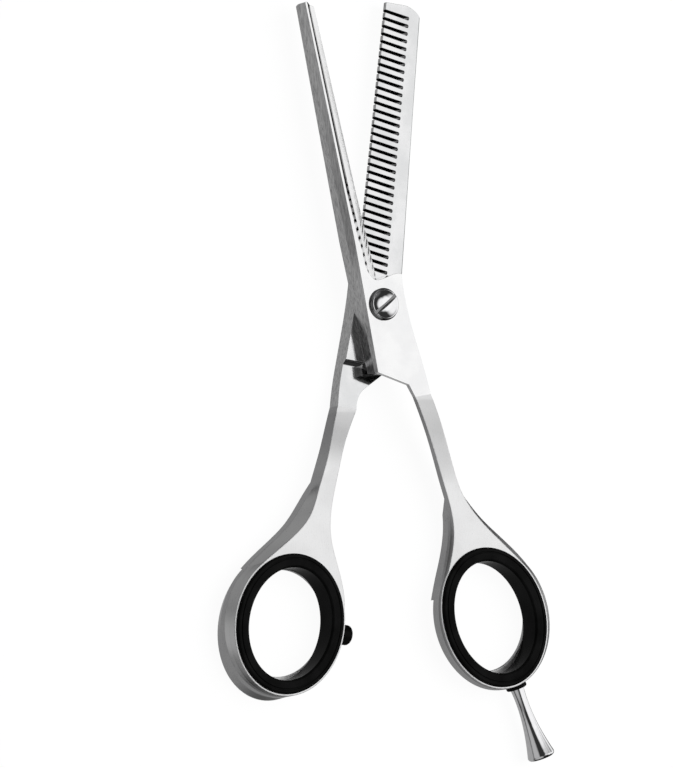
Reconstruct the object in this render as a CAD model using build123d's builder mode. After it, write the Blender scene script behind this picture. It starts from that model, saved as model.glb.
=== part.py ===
from build123d import *
from math import cos, radians, sin
import os

# Thinning shears, lying flat. The pivot axis is +Z through the origin, the blades point
# along +Y, and Z = 0 is the surface that the shears lie on. Each half is drawn in its own
# frame as it stands when the shears are shut, and the two frames are turned apart by OPEN.

# ---- driving dimensions (mm and degrees) ----------------------------------------------------
OPEN = 18.0                 # angle between the two halves at rest
BLADE_REACH = 64.4          # pivot to blade tips
HALF_THICK = 4.0            # thickness of each half at the pivot
HALF_GAP = 0.05             # running gap between the two halves
WELD_COMB = -22.0           # where the comb blade is welded to its handle
WELD_SOLID = -20.0          # where the solid blade is welded to its handle
PAST = 1.0                  # how far a cut or a blank runs past the piece it shapes
WIDE_PAST = 40.0            # the same across the whole width of a half

# comb blade
TOOTH_PITCH = 1.645
SLOT_COUNT = 34
SLOT_EDGE = 0.60            # slot width at the tooth tips
SLOT_ROOT = 0.72            # slot width at the tooth roots
SLOT_SLANT = -6.3
FIRST_SLOT = 61.8           # distance of the first slot from the pivot
SLOT_RUN = 9.0              # length of the slot cutter
ROOT_X = 2.35               # where the slots end, across the blade
TOOTH_BACK = 3.0            # height of the back of a tooth at its tip
TOOTH_CHIN = 0.8            # length of the bevel under that tip
TOOTH_BELLY = 1.7           # height of the back of a tooth behind that bevel
COMB_BEVEL = 0.9            # bevel along the bottom of the spine
COMB_EASE = 0.3             # bevel along the top of the spine
STEP_Y = -12.0              # where the bearing face of the comb blade steps down
RELIEF_Y = -14.5            # where its underside starts to lift from the rest plane
COMB_WELD_TOP = 3.75
COMB_WELD_BASE = 0.4

# solid blade
SPINE_BEVEL = 1.1           # depth of the bevel along the spine
EDGE_LAND = 0.3             # height of the land at the cutting edge
TIP_THICK = 2.4             # thickness of the solid blade at its tip
CROWN_Y = 14.0              # where the blade starts to thin towards the tip
MID_Y = 24.0                # where its top land is down to the width of a line
HEEL_X = 3.4                # half width of the part of the heel that is bevelled
HEEL_Y = -13.6              # where the heel starts

# finger rings and handles
RING_DEPTH = 5.4
RING_SHORT = 12.85          # half width of the ring's top rim
RING_LONG = 15.15           # half length of the ring's top rim
RING_SHIFT = 0.8            # how far the widest ring outline leans to the outside
RING_SWELL = 0.8            # how much wider that outline is than the top rim
RING_LONG_SWELL = 0.15      # how much longer it is
FOOT_HEIGHT = 2.2           # where the outside of a ring starts to draw in towards its foot
COMB_FOOT = (-15.1, -69.4)  # centre of each ring's foot
SOLID_FOOT = (16.0, -68.0)
FOOT_SHORT = 12.7           # half width of the foot
FOOT_LONG = 15.4            # half length of the foot
RIM_BEVEL = 1.6             # height of the bevel round the outside of a ring
SEAT_SHORT = 10.8           # half width of the hole in the metal ring
SEAT_LONG = 13.0
LIP_SHORT = 10.4            # half width of the hole in the shoulder under the rubber insert
LIP_LONG = 11.4
LIP_SHIFT = 0.5
LIP_TURN = -14.0            # lean of that hole from the lean of the ring
LIP_TOP = 0.8               # height of that shoulder
COMB_RING = (-14.1, -68.9)  # centre of the comb half's ring
SOLID_RING = (14.4, -68.1)  # centre of the solid half's ring
COMB_LEAN = -14.0           # lean of each ring's long axis
SOLID_LEAN = 8.0
RING_JOIN = 60.0            # where a shank's sides meet the ring, from the ring's top
WEB_INSET = 0.15            # how far the top of the web is set in from the shank's sides
COMB_BELLY = 1.6            # bevel under the inner side of each shank
SOLID_BELLY = 2.9
SHANK_CLEAR = 1.0           # height of a shank's underside above the rest plane
WEB_CLEAR = 2.6             # the same for the start of the solid handle's web
WEB_START = -36.5           # where the underside of a web starts to slope down
WEB_END = -58.0             # where that slope ends, close to the ring
WEB_LIFT = 1.2              # height of the underside from there on

# rubber ring inserts
FLANGE_SHORT = 12.5         # half width of the flange
FLANGE_LONG = 14.8
FLANGE_PROUD = 0.6          # how far the flange stands above the ring
FLANGE_ROUND = 0.5          # rounding of its top edges
GROOVE_IN = 0.85            # moulded line round its top, from the flange's edge
GROOVE_OUT = 1.15
GROOVE_DEPTH = 0.15
HOLE_SHORT = 9.65           # half width of the clear finger hole
HOLE_LONG = 11.9

# pivot
HEAD_R = 3.4
HEAD_RIM = 0.75             # height of the head's straight rim
HEAD_DOME = 0.65            # rise of its dome
HEAD_ROUND = 0.5            # rounding between rim and dome
HEAD_LIFT = 0.02            # gap under the head
SLOT_WIDTH = 0.8            # screwdriver slot
SLOT_DEPTH = 0.8
SLOT_ANGLE = 37.4
SCREW_R = 1.95
SCREW_FOOT = 0.8            # height of the screw's end above the rest plane
THREAD_R = 1.6
THREAD_TOP = 3.5
BUSH_R = 2.9
RUN = 0.05                  # radial running clearance
POCKET_R = 3.1              # pocket for the washers under the head
POCKET_DEPTH = 1.1
WASHER_CLEAR = 0.1          # gap round the washers in their pocket
SPRING_THICK = 0.6
INSERT_R = 3.0
INSERT_TOP = 3.5
INSERT_FLANGE_R = 4.0
INSERT_FLANGE = 0.8
INSERT_FLOOR = 0.6          # thickness of the closed back of the nut insert

# bumper
BUMPER_R = 2.1
BUMPER_PROUD = 2.8
BUMPER_HEIGHT = 3.0         # height of its axis above the rest plane
BUMPER_REACH = 12.75        # distance of its seat from the ring's centre
BUMPER_ROUND = 0.8
STEM_R = 0.9
STEM_LENGTH = 1.2
SPOT_FACE = 0.1             # gap round a part that sits in a spot face

# finger rest
REST_LENGTH = 15.5
REST_TILT = 11.0            # lean of its axis to the outside
REST_ANGLE = 14.0           # place of its seat on the ring, from the ring's bottom
REST_REACH = 15.15          # distance of its seat from the ring's centre
REST_HEIGHT = 2.9           # height of its axis, so that its end lies on the rest plane
REST_COLLAR = 1.45
REST_NECK = 1.3
REST_WAIST = 1.75
REST_END = 2.9
REST_ROUND = 0.75           # rounding of its end
STUD_R = 1.0
STUD_LENGTH = 1.9
STUD_CLEAR = 0.1            # gap at the end of the stud
ORING_R = 2.2
ORING_THICK = 0.9
ORING_ROUND = 0.35
ORING_GAP = 0.02            # gap between the O-ring and the ring that it turns against

SOLID_BASE = HALF_THICK + HALF_GAP
SOLID_TOP = SOLID_BASE + HALF_THICK

os.makedirs("parts", exist_ok=True)


def half_frame(angle):
    """The frame of one half, turned about the pivot by an angle in degrees."""
    return Plane(origin=(0, 0, 0), x_dir=(cos(radians(angle)), sin(radians(angle)), 0), z_dir=(0, 0, 1))


COMB = half_frame(-OPEN / 2)
SOLID = half_frame(OPEN / 2)


def side_plane(frame):
    """A plane along a half's length: its X is the half's Y, and its Y is up."""
    return Plane(origin=(0, 0, 0), x_dir=frame.y_dir, z_dir=frame.x_dir)


def section_plane(frame, distance):
    """A plane across a half at a distance from the pivot: X across, Y up."""
    return Plane(origin=frame.y_dir * distance, x_dir=frame.x_dir, z_dir=-frame.y_dir)


def local(frame, x, y, z):
    """A point of one half's own frame, in the row frame."""
    return frame.from_local_coords(Vector(x, y, z))


def outward_plane(frame, centre, place, direction, reach, height):
    """A plane on the outside of a ring: its place and the direction of its Z are angles in degrees."""
    along = frame.x_dir * cos(radians(direction)) + frame.y_dir * sin(radians(direction))
    spot = local(frame, centre[0] + reach * cos(radians(place)),
                 centre[1] + reach * sin(radians(place)), height)
    return Plane(origin=spot, x_dir=(0, 0, 1), z_dir=along)


def profile_plane(plane):
    """The plane that holds the axis of another plane: its Y runs along that axis."""
    return Plane(origin=plane.origin, x_dir=plane.x_dir, z_dir=plane.x_dir.cross(plane.z_dir))


BUMPER_SEAT = outward_plane(COMB, COMB_RING, 0, 0, BUMPER_REACH, BUMPER_HEIGHT)
REST_SEAT = outward_plane(SOLID, SOLID_RING, REST_ANGLE - 90, REST_TILT - 90, REST_REACH, REST_HEIGHT)


def save(builder, name):
    builder.part.label = name
    export_step(builder.part, f"parts/{name}.step")


# ---- comb blade ----------------------------------------------------------------------------
def comb_section(edge, spine, back):
    """One cross-section of the comb blade: flat on top, with its back falling to the spine."""
    Polyline((edge, HALF_THICK), (edge, TOOTH_BACK), (edge + TOOTH_CHIN, TOOTH_BELLY), (ROOT_X, back),
             (spine - COMB_BEVEL, back),
             (spine, back + COMB_BEVEL), (spine, HALF_THICK - COMB_EASE), (spine - COMB_EASE, HALF_THICK),
             close=True)


with BuildPart() as comb_slots:
    with BuildSketch(COMB.offset(-PAST)):
        for row in range(SLOT_COUNT):
            with Locations(Location((ROOT_X, FIRST_SLOT - row * TOOTH_PITCH, 0), (0, 0, SLOT_SLANT))):
                Polygon((0, SLOT_ROOT / 2), (-SLOT_RUN, SLOT_EDGE / 2), (-SLOT_RUN, -SLOT_EDGE / 2),
                        (0, -SLOT_ROOT / 2), align=None)
                with Locations((0, 0)):
                    Ellipse(SLOT_ROOT / 3, SLOT_ROOT / 2)
    extrude(amount=HALF_THICK + 2 * PAST)

with BuildPart() as comb_blade:
    with BuildSketch(section_plane(COMB, BLADE_REACH + PAST)):
        with BuildLine():
            comb_section(-3.2, 5.25, 1.7)
        make_face()
    with BuildSketch(section_plane(COMB, 3)):
        with BuildLine():
            comb_section(-4.3, 6.4, 0.3)
        make_face()
    loft(ruled=True)
    with BuildSketch(COMB.offset(-PAST)):
        with BuildLine():
            tip = ThreePointArc((0.2, BLADE_REACH), (3.2, 64.0), (5.35, 62.4))
            Polyline(tip @ 1, (8, 55), (8, 0), (-6, 0), (-6, BLADE_REACH - 0.2), tip @ 0)
        make_face()
    extrude(amount=HALF_THICK + 2 * PAST, mode=Mode.INTERSECT)
    add(comb_slots.part, mode=Mode.SUBTRACT)
    with BuildSketch(COMB):
        with BuildLine():
            outer = Spline((-4.2, 6.5), (-4.4, 0), (-5.4, -11), (-6.3, WELD_COMB))
            weld = Line(outer @ 1, (-1.8, WELD_COMB))
            inner = Spline(weld @ 1, (-1.4, -19.4), (-0.4, -17.7))
            heel = Polyline(inner @ 1, (4.4, -13.4), (6.0, -8.0), (6.35, 6.0), outer @ 0)
        make_face()
    extrude(amount=HALF_THICK)
    with BuildSketch(side_plane(COMB)):
        with BuildLine():
            step = ThreePointArc((STEP_Y, HALF_THICK), (STEP_Y - 0.4, 3.45), (STEP_Y - 1.2, 3.1))
            cove = Spline(step @ 1, (-17, 3.15), (WELD_COMB, COMB_WELD_TOP))
            Polyline(cove @ 1, (WELD_COMB, HALF_THICK + PAST), (STEP_Y, HALF_THICK + PAST), step @ 0)
        make_face()
    extrude(amount=WIDE_PAST, both=True, mode=Mode.SUBTRACT)
    with BuildSketch(side_plane(COMB)):
        with BuildLine():
            relief = Spline((RELIEF_Y, 0), (-18, 0.1), (WELD_COMB, COMB_WELD_BASE))
            Polyline(relief @ 1, (WELD_COMB, -PAST), (RELIEF_Y, -PAST), relief @ 0)
        make_face()
    extrude(amount=WIDE_PAST, both=True, mode=Mode.SUBTRACT)
    with BuildSketch(COMB.offset(INSERT_FLANGE)):
        Circle(INSERT_R)
    extrude(amount=HALF_THICK, mode=Mode.SUBTRACT)
    with BuildSketch(COMB):
        Circle(INSERT_FLANGE_R)
    extrude(amount=INSERT_FLANGE, mode=Mode.SUBTRACT)
save(comb_blade, "comb_blade")


# ---- handles -------------------------------------------------------------------------------
def ring_oval(frame, height, centre, lean, short, long):
    """An oval on a level plane of one half, its long axis leaning towards the pivot."""
    with BuildSketch(frame.offset(height)) as sketch:
        with Locations(Location((centre[0], centre[1], 0), (0, 0, lean))):
            Ellipse(short, long)
    return sketch.sketch


def rim_point(centre, lean, turn, short=RING_SHORT, long=RING_LONG, shift=0.0):
    """A point of a ring's oval, in the half's own frame, at a turn about the ring's centre."""
    across = short * cos(radians(turn))
    along = long * sin(radians(turn))
    return (centre[0] + shift + across * cos(radians(lean)) - along * sin(radians(lean)),
            centre[1] + across * sin(radians(lean)) + along * cos(radians(lean)))


def web_section(frame, height, outer, inner):
    """The outline of the web between shank and ring: two curved sides and two straight ends."""
    with BuildSketch(frame.offset(height)) as sketch:
        with BuildLine():
            back = Spline(*outer)
            front = Spline(*inner)
            Line(back @ 0, front @ 0)
            Line(back @ 1, front @ 1)
        make_face()
    return sketch.sketch


def build_handle(frame, outer, low_outer, inner, low_inner, web_base, centre, foot, lean, top, under, bevel):
    """One satin handle: a bowed shank, the web that widens to the ring, and the finger ring."""
    side = 1 if centre[0] > 0 else -1
    outer_turn = 90 - side * RING_JOIN
    inner_turn = 90 + side * RING_JOIN
    wide = RING_DEPTH - RIM_BEVEL
    wide_short = RING_SHORT + RING_SWELL
    wide_long = RING_LONG + RING_LONG_SWELL
    shift = side * RING_SHIFT
    inset = side * WEB_INSET
    wide_centre = (centre[0] + shift, centre[1])
    outer = outer + [rim_point(centre, lean, outer_turn)]
    inner = inner + [rim_point(centre, lean, inner_turn)]
    low_outer = low_outer + [rim_point(centre, lean, outer_turn, wide_short, wide_long, shift)]
    low_inner = low_inner + [rim_point(centre, lean, inner_turn, wide_short, wide_long, shift)]
    high_outer = [(x - inset, y) for x, y in outer[-len(low_outer):]]
    high_inner = [(x + inset, y) for x, y in inner[-len(low_inner):]]
    with BuildPart() as web:
        extrude(web_section(frame, 0, low_outer, low_inner), amount=wide)
        loft([web_section(frame, wide, low_outer, low_inner),
              web_section(frame, RING_DEPTH, high_outer, high_inner)])
        with BuildSketch(side_plane(frame)):
            Polygon((WEB_START, -PAST), (WEB_START, web_base), (WEB_END, WEB_LIFT),
                    (centre[1], WEB_LIFT), (centre[1], -PAST), align=None)
        extrude(amount=WIDE_PAST, both=True, mode=Mode.SUBTRACT)
    with BuildPart() as handle:
        extrude(web_section(frame, -PAST, outer, inner), amount=SOLID_TOP + 2 * PAST)
        with BuildSketch(side_plane(frame)):
            with BuildLine():
                crown = Spline(*top, tangents=((-1, 0), (-1, 0)))
                belly = Spline(*under, tangents=((-1, 0), (-1, 0)))
                Line(crown @ 0, belly @ 0)
                Polyline(crown @ 1, (centre[1], RING_DEPTH), (centre[1], SHANK_CLEAR), belly @ 1)
            make_face()
        extrude(amount=WIDE_PAST, both=True, mode=Mode.INTERSECT)
        belly_edges = handle.edges().filter_by(lambda e: e.length > RING_LONG).sort_by(Axis.Z)[:3]
        inside = belly_edges.sort_by(lambda e: side * frame.to_local_coords(e @ 0.5).X)[0]
        chamfer(inside, length=bevel)
        add(web.part)
        loft([ring_oval(frame, 0, foot, lean, FOOT_SHORT, FOOT_LONG),
              ring_oval(frame, FOOT_HEIGHT, wide_centre, lean, wide_short, wide_long)])
        extrude(ring_oval(frame, FOOT_HEIGHT, wide_centre, lean, wide_short, wide_long),
                amount=wide - FOOT_HEIGHT)
        loft([ring_oval(frame, wide, wide_centre, lean, wide_short, wide_long),
              ring_oval(frame, RING_DEPTH, centre, lean, RING_SHORT, RING_LONG)])
        extrude(ring_oval(frame, LIP_TOP, centre, lean, SEAT_SHORT, SEAT_LONG),
                amount=RING_DEPTH, mode=Mode.SUBTRACT)
        lip_centre = (centre[0], centre[1] + LIP_SHIFT)
        extrude(ring_oval(frame, -PAST, lip_centre, lean + LIP_TURN, LIP_SHORT, LIP_LONG),
                amount=RING_DEPTH, mode=Mode.SUBTRACT)
    return handle


comb_blank = build_handle(
    COMB,
    outer=[(-6.3, WELD_COMB), (-7.5, -28), (-9.3, -36.5), (-10.2, -40.6), (-11.5, -45.7), (-15.1, -50.8)],
    low_outer=[(-9.2, -37.5), (-12.4, -43.2), (-14.9, -47.6), (-18.6, -52.0)],
    inner=[(-1.8, WELD_COMB), (-3.0, -25.5), (-4.7, -30.5), (-6.1, -38.2), (-6.7, -45), (-6.2, -49.6),
           (-4.6, -54.0)],
    low_inner=[(-6.5, -45.5), (-5.7, -49.6), (-4.1, -54.0)],
    web_base=SHANK_CLEAR, centre=COMB_RING, foot=COMB_FOOT, lean=COMB_LEAN,
    top=[(WELD_COMB, COMB_WELD_TOP), (-36, RING_DEPTH)],
    under=[(WELD_COMB, COMB_WELD_BASE), (-33, SHANK_CLEAR)],
    bevel=COMB_BELLY)
with BuildPart() as comb_handle:
    add(comb_blank.part)
    with BuildSketch(BUMPER_SEAT):
        Circle(STEM_R)
    extrude(amount=-STEM_LENGTH, mode=Mode.SUBTRACT)
    with BuildSketch(BUMPER_SEAT):
        Circle(BUMPER_R + SPOT_FACE)
    extrude(amount=BUMPER_PROUD, mode=Mode.SUBTRACT)
save(comb_handle, "comb_handle")

solid_blank = build_handle(
    SOLID,
    outer=[(7.3, WELD_SOLID), (8.6, -25.4), (11.0, -36.5), (11.9, -40.6), (13.5, -44.6), (16.7, -49.5)],
    low_outer=[(11.0, -37.5), (14.0, -43.2), (16.4, -47.0), (20.2, -51.6)],
    inner=[(3.5, WELD_SOLID), (4.6, -24.5), (6.2, -30.5), (7.9, -38.2), (8.7, -44.6), (8.4, -49),
           (7.0, -53.4)],
    low_inner=[(8.5, -45.2), (7.9, -49), (6.4, -53.4)],
    web_base=WEB_CLEAR, centre=SOLID_RING, foot=SOLID_FOOT, lean=SOLID_LEAN,
    top=[(WELD_SOLID, SOLID_TOP), (-42, RING_DEPTH)],
    under=[(WELD_SOLID, SOLID_BASE), (-42, SHANK_CLEAR)],
    bevel=SOLID_BELLY)
with BuildPart() as solid_handle:
    add(solid_blank.part)
    with BuildSketch(REST_SEAT):
        Circle(STUD_R + RUN)
    extrude(amount=-STUD_LENGTH - STUD_CLEAR, mode=Mode.SUBTRACT)
    with BuildSketch(REST_SEAT.offset(-ORING_GAP)):
        Circle(ORING_R + SPOT_FACE)
    extrude(amount=REST_LENGTH, mode=Mode.SUBTRACT)
save(solid_handle, "solid_handle")


# ---- solid blade ---------------------------------------------------------------------------
def blade_section(spine, flat, ridge, knee, edge, top):
    """One cross-section of the solid blade: spine bevel, flat, two-step hollow and cutting edge."""
    Polyline((spine, SOLID_BASE), (spine, top - SPINE_BEVEL), (flat, top), (ridge, top), knee,
             (edge, SOLID_BASE + EDGE_LAND), (edge, SOLID_BASE), close=True)


def in_heel(spot):
    """Whether a point lies on the bottom edges of the solid blade's heel."""
    return spot.Z < SOLID_BASE + RUN and abs(spot.X) < HEEL_X and WELD_SOLID + RUN < spot.Y < HEEL_Y


with BuildPart() as solid_blade:
    with BuildSketch(section_plane(SOLID, BLADE_REACH + PAST)):
        with BuildLine():
            blade_section(-5.3, -4.4, -3.95, (-2.6, 5.05), -1.3, SOLID_BASE + TIP_THICK)
        make_face()
    with BuildSketch(section_plane(SOLID, MID_Y)):
        with BuildLine():
            blade_section(-5.4, -4.15, -3.65, (-1.75, 5.75), 0.62, SOLID_TOP - 0.3)
        make_face()
    with BuildSketch(section_plane(SOLID, CROWN_Y)):
        with BuildLine():
            blade_section(-5.4, -4.1, -3.15, (-1.2, 6.0), 1.25, SOLID_TOP)
        make_face()
    with BuildSketch(section_plane(SOLID, -CROWN_Y)):
        with BuildLine():
            blade_section(-4.5, -4.35, -1.7, (0.25, 6.0), 2.7, SOLID_TOP)
        make_face()
    loft(ruled=True)
    with BuildSketch(SOLID.offset(SOLID_BASE)):
        with BuildLine():
            scoop = Spline((-3.2, CROWN_Y), (-2.75, 10.0), (-2.3, 7.2), (-0.9, 5.35), (1.4, 5.35), (5.7, 5.6))
            cheek = Spline(scoop @ 1, (5.4, 1.5), (6.2, -9.4), (7.3, WELD_SOLID))
            Polyline(cheek @ 1, (-3.9, WELD_SOLID), (-3.9, CROWN_Y), scoop @ 0)
        make_face()
    extrude(amount=HALF_THICK)
    with BuildSketch(SOLID.offset(SOLID_BASE - PAST)):
        with BuildLine():
            nose = ThreePointArc((-5.6, 62.6), (-4.7, BLADE_REACH), (-3.0, 64.0))
            Polyline(nose @ 1, (-0.9, 63.3), (12, 55), (12, WELD_SOLID), (3.5, WELD_SOLID),
                     (2.5, -17.3), (-4.5, -13.6), (-6, -13.4), nose @ 0)
        make_face()
    extrude(amount=HALF_THICK + 2 * PAST, mode=Mode.INTERSECT)
    heel = solid_blade.edges().filter_by(lambda e: in_heel(SOLID.to_local_coords(e @ 0.5)))
    chamfer(heel, length=SOLID_BELLY)
    with BuildSketch(SOLID.offset(SOLID_BASE - PAST)):
        Circle(BUSH_R)
    extrude(amount=HALF_THICK + 2 * PAST, mode=Mode.SUBTRACT)
    with BuildSketch(SOLID.offset(SOLID_TOP - POCKET_DEPTH)):
        Circle(POCKET_R)
    extrude(amount=POCKET_DEPTH + PAST, mode=Mode.SUBTRACT)
save(solid_blade, "solid_blade")


# ---- pivot ---------------------------------------------------------------------------------
def ring_solid(low, high, outer_radius, inner_radius):
    """A plain ring about the pivot axis between two heights."""
    with BuildPart() as ring:
        with BuildSketch(Plane.XY.offset(low)):
            Circle(outer_radius)
            Circle(inner_radius, mode=Mode.SUBTRACT)
        extrude(amount=high - low)
    return ring


head_base = SOLID_TOP + HEAD_LIFT
rim_top = head_base + HEAD_RIM
with BuildPart() as pivot_screw:
    with BuildSketch(Plane.XZ):
        with BuildLine():
            rim = Line((HEAD_R, head_base), (HEAD_R, rim_top - HEAD_ROUND))
            shoulder = ThreePointArc(rim @ 1, (HEAD_R - 0.2 * HEAD_ROUND, rim_top - 0.4 * HEAD_ROUND),
                                     (HEAD_R - HEAD_ROUND, rim_top + 0.1 * HEAD_ROUND))
            dome = ThreePointArc(shoulder @ 1, (HEAD_R * 0.55, rim_top + HEAD_DOME * 0.7),
                                 (0, rim_top + HEAD_DOME))
            Polyline(dome @ 1, (0, SCREW_FOOT), (THREAD_R, SCREW_FOOT), (THREAD_R, THREAD_TOP),
                     (SCREW_R, THREAD_TOP), (SCREW_R, head_base), rim @ 0)
        make_face()
    revolve(axis=Axis.Z)
    with BuildSketch(Plane.XY.offset(rim_top + HEAD_DOME - SLOT_DEPTH)):
        with Locations(Location((0, 0, 0), (0, 0, SLOT_ANGLE))):
            Rectangle(3 * HEAD_R, SLOT_WIDTH)
    extrude(amount=HEAD_RIM + HEAD_DOME, mode=Mode.SUBTRACT)
save(pivot_screw, "pivot_screw")

pocket_floor = SOLID_TOP - POCKET_DEPTH
spring_top = pocket_floor + SPRING_THICK
pivot_bush = ring_solid(SOLID_BASE, pocket_floor, BUSH_R, SCREW_R + RUN)
save(pivot_bush, "pivot_bush")
spring_washer = ring_solid(pocket_floor, spring_top, POCKET_R - WASHER_CLEAR, SCREW_R + RUN)
save(spring_washer, "spring_washer")
head_washer = ring_solid(spring_top, SOLID_TOP, POCKET_R - WASHER_CLEAR, SCREW_R + RUN)
save(head_washer, "head_washer")

with BuildPart() as nut_insert:
    with BuildSketch(Plane.XY):
        Circle(INSERT_FLANGE_R)
    extrude(amount=INSERT_FLANGE)
    with BuildSketch(Plane.XY.offset(INSERT_FLANGE)):
        Circle(INSERT_R)
    extrude(amount=INSERT_TOP - INSERT_FLANGE)
    with BuildSketch(Plane.XY.offset(INSERT_FLOOR)):
        Circle(THREAD_R + RUN)
    extrude(amount=HALF_THICK, mode=Mode.SUBTRACT)
save(nut_insert, "nut_insert")

friction_washer = ring_solid(INSERT_TOP, HALF_THICK, INSERT_R, SCREW_R + RUN)
save(friction_washer, "friction_washer")


# ---- rubber parts --------------------------------------------------------------------------
def build_insert(frame, centre, lean):
    """A rubber ring insert: a sleeve in the metal ring under a rounded flange."""
    with BuildPart() as insert:
        extrude(ring_oval(frame, LIP_TOP, centre, lean, SEAT_SHORT, SEAT_LONG), amount=RING_DEPTH - LIP_TOP)
        extrude(ring_oval(frame, RING_DEPTH, centre, lean, FLANGE_SHORT, FLANGE_LONG), amount=FLANGE_PROUD)
        extrude(ring_oval(frame, -PAST, centre, lean, HOLE_SHORT, HOLE_LONG),
                amount=RING_DEPTH + FLANGE_PROUD + 2 * PAST, mode=Mode.SUBTRACT)
        fillet(insert.edges().group_by(Axis.Z)[-1], radius=FLANGE_ROUND)
        with BuildSketch(frame.offset(RING_DEPTH + FLANGE_PROUD)):
            with Locations(Location((centre[0], centre[1], 0), (0, 0, lean))):
                Ellipse(FLANGE_SHORT - GROOVE_IN, FLANGE_LONG - GROOVE_IN)
                Ellipse(FLANGE_SHORT - GROOVE_OUT, FLANGE_LONG - GROOVE_OUT, mode=Mode.SUBTRACT)
        extrude(amount=-GROOVE_DEPTH, mode=Mode.SUBTRACT)
    return insert


comb_ring_insert = build_insert(COMB, COMB_RING, COMB_LEAN)
save(comb_ring_insert, "comb_ring_insert")
solid_ring_insert = build_insert(SOLID, SOLID_RING, SOLID_LEAN)
save(solid_ring_insert, "solid_ring_insert")

with BuildPart() as bumper:
    with BuildSketch(BUMPER_SEAT):
        Circle(BUMPER_R)
    extrude(amount=BUMPER_PROUD)
    fillet(bumper.edges().group_by(Axis(BUMPER_SEAT.origin, BUMPER_SEAT.z_dir))[-1], radius=BUMPER_ROUND)
    with BuildSketch(BUMPER_SEAT):
        Circle(STEM_R)
    extrude(amount=-STEM_LENGTH)
save(bumper, "bumper")

# ---- finger rest ---------------------------------------------------------------------------
with BuildPart() as finger_rest:
    with BuildSketch(profile_plane(REST_SEAT)):
        with BuildLine():
            neck = Line((STUD_R, -STUD_LENGTH), (STUD_R, ORING_THICK))
            step = Line(neck @ 1, (REST_COLLAR, ORING_THICK))
            flare = Spline(step @ 1, (REST_NECK, 0.35 * REST_LENGTH), (REST_WAIST, 0.65 * REST_LENGTH),
                           (REST_END, REST_LENGTH + ORING_THICK - REST_ROUND))
            lip = RadiusArc(flare @ 1, (REST_END - REST_ROUND, REST_LENGTH + ORING_THICK), -REST_ROUND)
            Polyline(lip @ 1, (0, REST_LENGTH + ORING_THICK), (0, -STUD_LENGTH), neck @ 0)
        make_face()
    revolve(axis=Axis(REST_SEAT.origin, REST_SEAT.z_dir))
save(finger_rest, "finger_rest")

with BuildPart() as finger_rest_ring:
    with BuildSketch(REST_SEAT):
        Circle(ORING_R)
        Circle(STUD_R + RUN, mode=Mode.SUBTRACT)
    extrude(amount=ORING_THICK)
    fillet(finger_rest_ring.edges().sort_by(SortBy.LENGTH)[-2:], radius=ORING_ROUND)
save(finger_rest_ring, "finger_rest_ring")
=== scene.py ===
import bpy
from math import cos, radians, sin
from mathutils import Matrix, Vector


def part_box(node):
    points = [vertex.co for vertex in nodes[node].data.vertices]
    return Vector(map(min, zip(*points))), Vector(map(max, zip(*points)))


# Thinning shears: the CAD nodes keep their shapes, and get their finishes here.
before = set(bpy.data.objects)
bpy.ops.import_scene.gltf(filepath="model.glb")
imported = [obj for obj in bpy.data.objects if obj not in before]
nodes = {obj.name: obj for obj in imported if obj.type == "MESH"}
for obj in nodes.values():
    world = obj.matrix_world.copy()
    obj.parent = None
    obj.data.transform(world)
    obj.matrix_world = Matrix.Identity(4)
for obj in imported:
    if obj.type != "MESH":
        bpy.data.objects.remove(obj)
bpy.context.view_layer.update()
scene = bpy.context.scene

MM = 0.001
SHEARS_TILT = 31.0      # how far the camera leans from straight above, towards -X
CAMERA_DROP = 7.0       # how far it leans towards -Y
IN_PLANE_TURN = -3.3    # turn of the shears in the view
HALF_TURN = 9.0         # turn of each half from the Y axis at rest
WALL_NORMAL = (0.264, 0.965, 0.0)   # what the walls of the comb's slots face, 15.3 degrees from Y
TIP_START = 62.8 * MM   # the slots end before this distance along Y
SHADE_DEPTH = 0.78 * MM # how far under its top the screw gets darker
WELD_TONE_RUN = 16.0 * MM    # how far into a handle its tone grows darker towards the weld
WELD_CLEAR = (0.5 * MM, 1.3 * MM)   # edges are sharp nearer to a weld than this, and round beyond
CREASE = (3.8 * MM, 5.4 * MM)       # heights of the bevel that holds the painted crease shade round a ring
CREASE_RUN = (-42.0 * MM, -50.0 * MM)   # the crease comes in between these, along Y
COMB_WELD = -21.1 * MM  # where the comb blade meets its handle, along Y
SOLID_WELD = -18.9 * MM # and where the solid blade does
SATIN_EDGE = 0.30 * MM  # radii that the edges of each kind of piece are shown with
POLISHED_EDGE = 0.10 * MM
TURNED_EDGE = 0.10 * MM
RUBBER_EDGE = 0.20 * MM


# ---- node helpers --------------------------------------------------------------------------
def node(tree, kind, props=None, **inputs):
    """A shader node with its properties and its input values by name."""
    made = tree.nodes.new(kind)
    for key, value in (props or {}).items():
        setattr(made, key, value)
    for key, value in inputs.items():
        made.inputs[key.replace("_", " ")].default_value = value
    return made


def link(tree, source, target, output=0, entry=0):
    tree.links.new(source.outputs[output], target.inputs[entry])


def ramp(tree, source, stops, output=0):
    """A smooth colour ramp on a value; the stops are (position, grey or colour)."""
    made = node(tree, "ShaderNodeValToRGB")
    made.color_ramp.interpolation = "EASE"
    while len(made.color_ramp.elements) < len(stops):
        made.color_ramp.elements.new(0.5)
    for element, (place, tone) in zip(made.color_ramp.elements, stops):
        element.position = place
        colour = tone if isinstance(tone, tuple) else (tone, tone, tone)
        element.color = (*colour, 1.0)
    link(tree, source, made, output, 0)
    return made


def span(tree, source, start, end, low=0.0, high=1.0, output=0):
    """A value taken smoothly from low at start to high at end."""
    made = node(tree, "ShaderNodeMapRange", {"interpolation_type": "SMOOTHSTEP"},
                From_Min=start, From_Max=end, To_Min=low, To_Max=high)
    link(tree, source, made, output, "Value")
    return made


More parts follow.
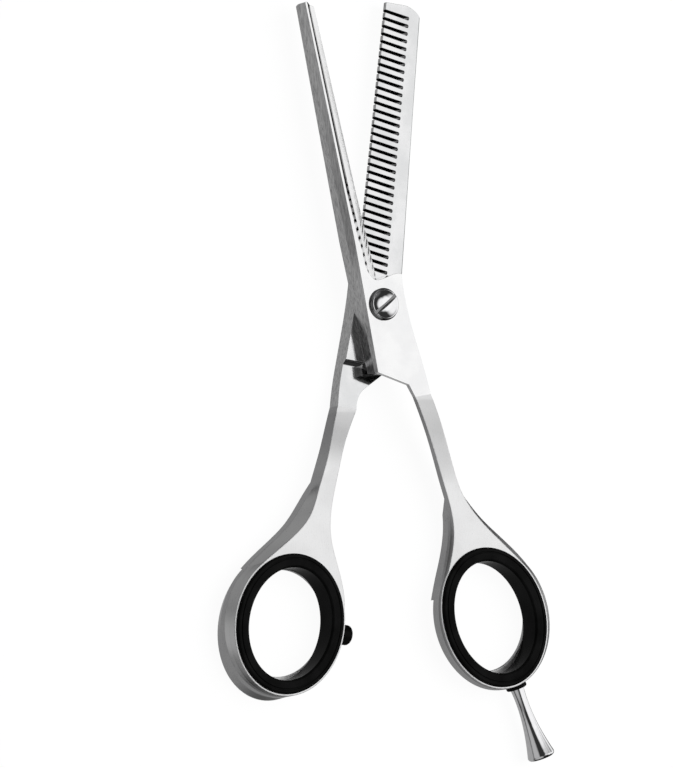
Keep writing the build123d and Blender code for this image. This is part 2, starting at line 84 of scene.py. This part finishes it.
def noise(tree, coords, scale, detail, rough, stretch=(1.0, 1.0, 1.0), turn=0.0):
    """Noise, drawn out along one direction for brushed or ground steel."""
    mapping = node(tree, "ShaderNodeMapping", Rotation=(0, 0, radians(turn)), Scale=stretch)
    link(tree, coords, mapping, "Object", "Vector")
    made = node(tree, "ShaderNodeTexNoise", Scale=scale, Detail=detail, Roughness=rough)
    link(tree, mapping, made, 0, "Vector")
    return made


def blend(tree, factor, first, second, kind="MIX"):
    """Two colours, mixed by a factor that is a node or a number; the result is output 2."""
    made = node(tree, "ShaderNodeMix", {"data_type": "RGBA", "blend_type": kind})
    if isinstance(factor, float):
        made.inputs[0].default_value = factor
    else:
        link(tree, factor, made)
    for entry, source in ((6, first), (7, second)):
        link(tree, source, made, 2 if source.bl_idname == "ShaderNodeMix" else 0, entry)
    return made


def maths(tree, operation, first, second):
    """A sum, product or other operation on a node and a second node or number."""
    made = node(tree, "ShaderNodeMath", {"operation": operation})
    link(tree, first, made)
    if isinstance(second, float):
        made.inputs[1].default_value = second
    else:
        link(tree, second, made, 0, 1)
    return made


def weighed(tree, first, share, second):
    """Two values added, the first with its share of one and the second with the rest."""
    return maths(tree, "ADD", maths(tree, "MULTIPLY", first, share),
                 maths(tree, "MULTIPLY", second, 1.0 - share))


def start_material(name, metallic, specular=0.5):
    """A new material with its node tree and its shader."""
    made = bpy.data.materials.new(name)
    made.use_nodes = True
    tree = made.node_tree
    shader = tree.nodes["Principled BSDF"]
    shader.inputs["Metallic"].default_value = metallic
    shader.inputs["Specular IOR Level"].default_value = specular
    return made, tree, shader


def clear_of_weld(tree, place, weld, side, radius):
    """An edge radius that falls to nothing at a weld; side is the way along Y that the piece goes."""
    near, far = WELD_CLEAR
    return span(tree, place, weld + side * near, weld + side * far, 0.0, radius, "Y")


def rounded_bump(tree, shader, height, radius, strength, distance):
    """Bump from a height, over edges that are rounded by a radius: a number or a node."""
    bevel = node(tree, "ShaderNodeBevel", {"samples": 6})
    if isinstance(radius, float):
        bevel.inputs["Radius"].default_value = radius
    else:
        link(tree, radius, bevel, 0, "Radius")
    bump = node(tree, "ShaderNodeBump", Strength=strength, Distance=distance)
    link(tree, height, bump, 0, "Height")
    link(tree, bevel, bump, 0, "Normal")
    link(tree, bump, shader, 0, "Normal")


# ---- finishes ------------------------------------------------------------------------------
def satin_steel(name, turn, weld):
    """Brushed handle steel: grain along the shank, handling marks, painted light on tops and painted shade on
    sides and in the crease by the ring, darker towards the weld.
    """
    made, tree, shader = start_material(name, 1.0)
    coords = node(tree, "ShaderNodeTexCoord")
    grain = noise(tree, coords, 900.0, 6.0, 0.62, (9.0, 0.55, 9.0), turn)
    cloud = noise(tree, coords, 130.0, 3.0, 0.5)
    speck = noise(tree, coords, 4200.0, 2.0, 0.5)
    both = weighed(tree, grain, 0.6, speck)
    split = node(tree, "ShaderNodeSeparateXYZ")
    link(tree, coords, split, "Normal")
    place = node(tree, "ShaderNodeSeparateXYZ")
    link(tree, coords, place, "Object")
    # painted light and shade: faces turned up take the lighter top tone, all other faces the darker side tone
    lit_top_share = span(tree, split, 0.35, 0.75, output="Z")
    side = ramp(tree, both, [(0.30, (0.42, 0.42, 0.425)), (0.55, (0.60, 0.60, 0.605)),
                             (0.75, (0.78, 0.78, 0.78))])
    top = ramp(tree, both, [(0.30, (0.82, 0.82, 0.825)), (0.55, (0.91, 0.91, 0.912)),
                            (0.75, (0.96, 0.96, 0.96))])
    # painted shade: a dark line in the crease round each ring, with a darker bevel above it, on the side
    # faces only
    level = span(tree, place, *CREASE, output="Z")
    crease = ramp(tree, level, [(0.30, 1.0), (0.46, 0.40), (0.60, 0.62), (1.0, 0.72)])
    by_ring = span(tree, place, *CREASE_RUN, output="Y")
    creased = blend(tree, 1.0, side, crease, "MULTIPLY")
    tone = blend(tree, lit_top_share, blend(tree, by_ring, side, creased), top)
    haze = ramp(tree, cloud, [(0.35, 0.93), (0.65, 1.0)])
    # the handle grows darker towards its weld, and comes back nearly to the blade's tone at the weld itself
    towards_weld = span(tree, place, weld - WELD_TONE_RUN, weld, output="Y")
    weld_ward_tone = ramp(tree, towards_weld, [(0.0, 1.0), (0.985, 0.80), (1.0, 0.95)])
    hazed = blend(tree, 1.0, tone, haze, "MULTIPLY")
    colour = blend(tree, 1.0, hazed, weld_ward_tone, "MULTIPLY")
    link(tree, colour, shader, 2, "Base Color")
    link(tree, ramp(tree, both, [(0.30, 0.27), (0.70, 0.38)]), shader, 0, "Roughness")
    radius = clear_of_weld(tree, place, weld, -1, SATIN_EDGE)
    rounded_bump(tree, shader, both, radius, strength=0.20, distance=0.015 * MM)
    return made


def polished_steel(name, turn, weld, low, high, slotted):
    """Mirror-polished blade steel with faint smears; sides towards -X are satin, slot walls painted near
    black as painted shade between the teeth.
    """
    made, tree, shader = start_material(name, 1.0, 0.0)
    coords = node(tree, "ShaderNodeTexCoord")
    lines = noise(tree, coords, 500.0, 5.0, 0.6, (9.0, 0.4, 9.0), turn)
    smear = noise(tree, coords, 190.0, 4.0, 0.55)
    split = node(tree, "ShaderNodeSeparateXYZ")
    link(tree, coords, split, "Normal")
    place = node(tree, "ShaderNodeSeparateXYZ")
    link(tree, coords, place, "Object")
    polished = span(tree, split, -0.55, -0.35, output="X")
    face = ramp(tree, smear, [(0.35, low), (0.65, high)])
    side = ramp(tree, lines, [(0.30, (0.46, 0.46, 0.465)), (0.70, (0.88, 0.88, 0.88))])
    colour = blend(tree, polished, side, face)
    if slotted:
        # painted shade and dark reflection: the walls of the comb's slots, back from the tip, are painted
        # near black and made non-metallic
        facing = node(tree, "ShaderNodeVectorMath", {"operation": "DOT_PRODUCT"})
        facing.inputs[1].default_value = WALL_NORMAL
        link(tree, coords, facing, "Normal")
        either = node(tree, "ShaderNodeMath", {"operation": "ABSOLUTE"})
        link(tree, facing, either, "Value")
        behind_tip = span(tree, place, TIP_START, TIP_START - 0.2 * MM, output="Y")
        slot_shade_mask = maths(tree, "MULTIPLY", span(tree, either, 0.93, 0.98), behind_tip)
        dark = ramp(tree, lines, [(0.3, 0.002), (0.7, 0.010)])
        colour = blend(tree, slot_shade_mask, colour, dark)
        metal_off_slot_shade = node(tree, "ShaderNodeMath", {"operation": "SUBTRACT"})
        metal_off_slot_shade.inputs[0].default_value = 1.0
        link(tree, slot_shade_mask, metal_off_slot_shade, 0, 1)
        link(tree, metal_off_slot_shade, shader, 0, "Metallic")
    link(tree, colour, shader, 2, "Base Color")
    mirror = ramp(tree, smear, [(0.35, 0.06), (0.65, 0.13)])
    satin = ramp(tree, lines, [(0.30, 0.26), (0.70, 0.38)])
    link(tree, blend(tree, polished, satin, mirror), shader, 2, "Roughness")
    radius = clear_of_weld(tree, place, weld, 1, POLISHED_EDGE)
    rounded_bump(tree, shader, lines, radius, strength=0.02, distance=0.005 * MM)
    return made


def turned_metal(name, low, high, rough, centre=(0, 0, 0), lean=(0, 0, 0), rings=2600.0, shade_below=None):
    """Polished metal with fine turning rings about its own axis, and painted shade below a given height when
    one is given.
    """
    made, tree, shader = start_material(name, 1.0)
    coords = node(tree, "ShaderNodeTexCoord")
    moved = node(tree, "ShaderNodeMapping", Location=[-value for value in centre])
    link(tree, coords, moved, "Object")
    turned = node(tree, "ShaderNodeMapping", Rotation=lean)
    link(tree, moved, turned)
    wave = node(tree, "ShaderNodeTexWave", {"wave_type": "RINGS", "rings_direction": "Z"},
                Scale=rings, Distortion=0.4, Detail=2.0)
    link(tree, turned, wave)
    both = weighed(tree, noise(tree, coords, 1500.0, 3.0, 0.6), 0.65, wave)
    tone = ramp(tree, both, [(0.25, low), (0.75, high)])
    if shade_below is None:
        link(tree, tone, shader, 0, "Base Color")
    else:
        # painted shade: the metal is darker below the given height
        place = node(tree, "ShaderNodeSeparateXYZ")
        link(tree, coords, place, "Object")
        depth = span(tree, place, shade_below, shade_below + 0.1 * MM, 0.25, 1.0, output="Z")
        link(tree, blend(tree, 1.0, tone, depth, "MULTIPLY"), shader, 2, "Base Color")
    link(tree, ramp(tree, both, [(0.25, rough[0]), (0.75, rough[1])]), shader, 0, "Roughness")
    rounded_bump(tree, shader, both, TURNED_EDGE, strength=0.06, distance=0.006 * MM)
    return made


def rubber(name, low, high, rough, bump, specular=0.03):
    """Moulded rubber with a fine skin, faint bloom and a few dust specks."""
    made, tree, shader = start_material(name, 0.0, specular)
    coords = node(tree, "ShaderNodeTexCoord")
    skin = noise(tree, coords, 2600.0, 4.0, 0.6)
    bloom = noise(tree, coords, 170.0, 3.0, 0.55)
    dust = node(tree, "ShaderNodeTexVoronoi", Scale=900.0)
    link(tree, coords, dust, "Object", "Vector")
    tone = ramp(tree, bloom, [(0.3, low), (0.75, high)])
    speck = ramp(tree, dust, [(0.0, 0.10), (0.05, 0.0)])
    link(tree, blend(tree, 0.25, tone, speck, "ADD"), shader, 2, "Base Color")
    link(tree, ramp(tree, bloom, [(0.3, rough[0]), (0.7, rough[1])]), shader, 0, "Roughness")
    rounded_bump(tree, shader, skin, RUBBER_EDGE, strength=bump, distance=0.02 * MM)
    return made


screw_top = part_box("pivot_screw")[1].z
rest_low, rest_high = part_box("finger_rest")
rest_centre = (rest_low + rest_high) / 2
CHROME = (0.88, 0.88, 0.89), (0.95, 0.95, 0.96)
BLACK = (0.0020, 0.0020, 0.0020), (0.0060, 0.0060, 0.0060)

finishes = {
    "comb_blade": polished_steel("comb_blade_steel", HALF_TURN, COMB_WELD,
                                 (0.74, 0.745, 0.75), (0.84, 0.84, 0.845), True),
    "solid_blade": polished_steel("solid_blade_steel", -HALF_TURN, SOLID_WELD,
                                  (0.88, 0.88, 0.885), (0.94, 0.94, 0.94), False),
    "comb_handle": satin_steel("comb_handle_steel", 20.0, COMB_WELD),
    "solid_handle": satin_steel("solid_handle_steel", -20.0, SOLID_WELD),
    # the screw gets painted shade below SHADE_DEPTH under its top
    "pivot_screw": turned_metal("pivot_screw_chrome", *CHROME, (0.03, 0.07),
                                shade_below=screw_top - SHADE_DEPTH),
    "finger_rest": turned_metal("finger_rest_chrome", *CHROME, (0.03, 0.07), rest_centre,
                                (radians(90), 0, radians(20)), 1400.0),
    "pivot_bush": turned_metal("bush_brass", (0.62, 0.46, 0.22), (0.74, 0.58, 0.30), (0.18, 0.30)),
    "spring_washer": turned_metal("spring_washer_steel", (0.34, 0.34, 0.36), (0.46, 0.46, 0.47), (0.25, 0.4)),
    "head_washer": turned_metal("head_washer_steel", (0.56, 0.56, 0.57), (0.70, 0.70, 0.71), (0.12, 0.25)),
    "nut_insert": turned_metal("nut_steel", (0.62, 0.62, 0.63), (0.78, 0.78, 0.79), (0.16, 0.30)),
    "comb_ring_insert": rubber("comb_insert_rubber", *BLACK, (0.20, 0.30), 0.06),
    "solid_ring_insert": rubber("solid_insert_rubber", *BLACK, (0.20, 0.30), 0.06),
    "bumper": rubber("bumper_rubber", *BLACK, (0.32, 0.45), 0.12),
    "finger_rest_ring": rubber("oring_rubber", *BLACK, (0.35, 0.50), 0.10),
    "friction_washer": rubber("washer_plastic", (0.70, 0.70, 0.68), (0.82, 0.82, 0.80),
                              (0.40, 0.55), 0.15, 0.5),
}
for name, finish in finishes.items():
    nodes[name].material_slots[0].material = finish


# ---- camera --------------------------------------------------------------------------------
# the view frame: right, up and the direction back to the camera
tilt, drop = radians(SHEARS_TILT), radians(CAMERA_DROP)
in_plane = Matrix.Rotation(radians(IN_PLANE_TURN), 3, "Z")
right = in_plane @ Vector((cos(tilt), 0, sin(tilt)))
up = in_plane @ Vector((-sin(drop) * sin(tilt), cos(drop), sin(drop) * cos(tilt)))
back = in_plane @ Vector((-sin(tilt) * cos(drop), -sin(drop), cos(tilt) * cos(drop)))
mirror = Vector((-back.x, -back.y, back.z))     # where a flat polished face looks

DISTANCE = 1.6
VIEW_HEIGHT = 159.67 * MM       # what the frame holds from top to bottom
SENSOR_WIDTH = 36.0
CLIP_NEAR, CLIP_FAR = 0.05, 20.0
AIM_RIGHT, AIM_UP = -5.63 * MM, -15.65 * MM     # the middle of the view, from the pivot
camera_data = bpy.data.cameras.new("camera")
camera = bpy.data.objects.new("camera", camera_data)
scene.collection.objects.link(camera)
camera_data.sensor_width = SENSOR_WIDTH
camera_data.lens = SENSOR_WIDTH * DISTANCE / VIEW_HEIGHT
camera_data.clip_start = CLIP_NEAR
camera_data.clip_end = CLIP_FAR
place = right * AIM_RIGHT + up * AIM_UP + back * DISTANCE
camera.matrix_world = Matrix((
    (right.x, up.x, back.x, place.x),
    (right.y, up.y, back.y, place.y),
    (right.z, up.z, back.z, place.z),
    (0, 0, 0, 1)))
scene.camera = camera
scene.view_settings.view_transform = "Standard"


# ---- floor and light -----------------------------------------------------------------------
FLOOR_HALF = 3.0
FLOOR_DROP = 0.2 * MM           # the floor is a little under the rest plane
PAPER_TONE = (0.06, 0.06, 0.06, 1)
PAPER_ROUGHNESS = 0.9
PAPER_GLOW = 0.95
floor_mesh = bpy.data.meshes.new("floor")
corners = [(x * FLOOR_HALF, y * FLOOR_HALF, -FLOOR_DROP) for x, y in ((-1, -1), (1, -1), (1, 1), (-1, 1))]
floor_mesh.from_pydata(corners, [], [(0, 1, 2, 3)])
floor = bpy.data.objects.new("floor", floor_mesh)
scene.collection.objects.link(floor)
paper, _, paper_shader = start_material("floor_paper", 0.0, 0.0)
paper_shader.inputs["Base Color"].default_value = PAPER_TONE
paper_shader.inputs["Roughness"].default_value = PAPER_ROUGHNESS
paper_shader.inputs["Emission Color"].default_value = (1, 1, 1, 1)
paper_shader.inputs["Emission Strength"].default_value = PAPER_GLOW
floor.data.materials.append(paper)
floor.visible_glossy = False

world = bpy.data.worlds.new("studio")
scene.world = world
world.use_nodes = True
sky = world.node_tree
background = sky.nodes["Background"]
sky_coords = node(sky, "ShaderNodeTexCoord")


def glow(direction, inner, outer, level):
    """A soft bright patch of the studio: full inside one angle from a direction, gone outside another."""
    facing = node(sky, "ShaderNodeVectorMath", {"operation": "DOT_PRODUCT"})
    facing.inputs[1].default_value = Vector(direction).normalized()
    link(sky, sky_coords, facing, "Generated")
    return span(sky, facing, cos(radians(outer)), cos(radians(inner)), 0.0, level, "Value")


# one patch each for the flat faces, the top and the right side of the screw, the blade's hollow,
# the spine bevel, the far and near rims of the rings, the side walls and the feet of the rings,
# then a faint fill from above
tones = [
    glow(mirror, 15, 27, 1.0),
    glow((0.25, 0.05, 0.97), 14, 26, 0.95),
    glow((0.80, 0.05, 0.58), 16, 34, 0.95),
    glow((0.97, 0.12, -0.02), 14, 30, 0.95),
    glow((-0.95, 0.0, 0.30), 14, 32, 0.44),
    glow((-0.40, 0.85, 0.30), 20, 50, 0.28),
    glow((-0.40, -0.80, 0.40), 20, 45, 0.42),
    glow((-0.35, 0.0, -0.94), 48, 68, 0.36),
    glow((0.42, 0.05, -0.90), 14, 24, 0.60),
    glow((0, 0, 1), 60, 100, 0.03),
]
brightest = tones[0]
for tone in tones[1:]:
    brightest = maths(sky, "MAXIMUM", brightest, tone)
link(sky, brightest, background, 0, "Color")
background.inputs["Strength"].default_value = 1.0

KEY_SIZE = 0.9
KEY_DISTANCE = 0.9
KEY_POWER = 8.0
key_data = bpy.data.lights.new("key", "AREA")
key_data.size = KEY_SIZE
key_data.energy = KEY_POWER
key = bpy.data.objects.new("key", key_data)
key.location = mirror * KEY_DISTANCE
key.rotation_mode = "QUATERNION"
key.rotation_quaternion = mirror.to_track_quat("Z", "Y")
key.visible_glossy = False
scene.collection.objects.link(key)
